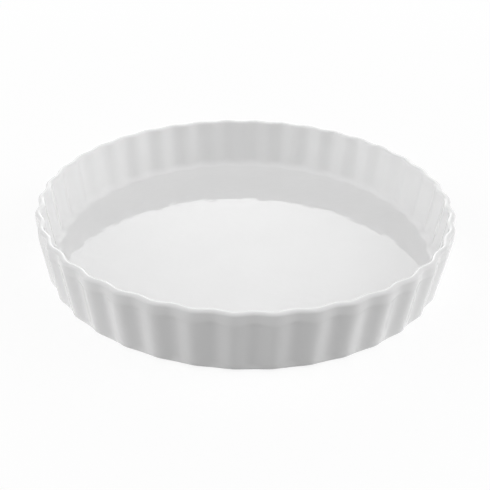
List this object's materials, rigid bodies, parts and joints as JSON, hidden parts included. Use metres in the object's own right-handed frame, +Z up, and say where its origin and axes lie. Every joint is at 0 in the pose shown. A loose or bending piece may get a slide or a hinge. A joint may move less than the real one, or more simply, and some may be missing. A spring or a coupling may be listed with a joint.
{
  "type": "fluted quiche dish",
  "caption": "Shallow round porcelain baking dish with a fluted upright wall, a rounded lip, a flat glossy floor and a bare foot ring under the wall; holds a quiche, tart or gratin.",
  "frame": {"origin": "centre of the circle that the foot ring rests on", "axes": "+Z up out of the open mouth, along the dish's axis; a flute crest lies on +X"},
  "size_m": [0.28, 0.2792, 0.044],
  "materials": {
    "glazed_porcelain": "white gloss glaze, bare on the foot ring's bearing face",
    "base_glaze": "white gloss glaze"
  },
  "bodies": {
    "root": {"porcelain_body": "glazed_porcelain", "base_glaze": "base_glaze"}
  },
  "joints": []
}
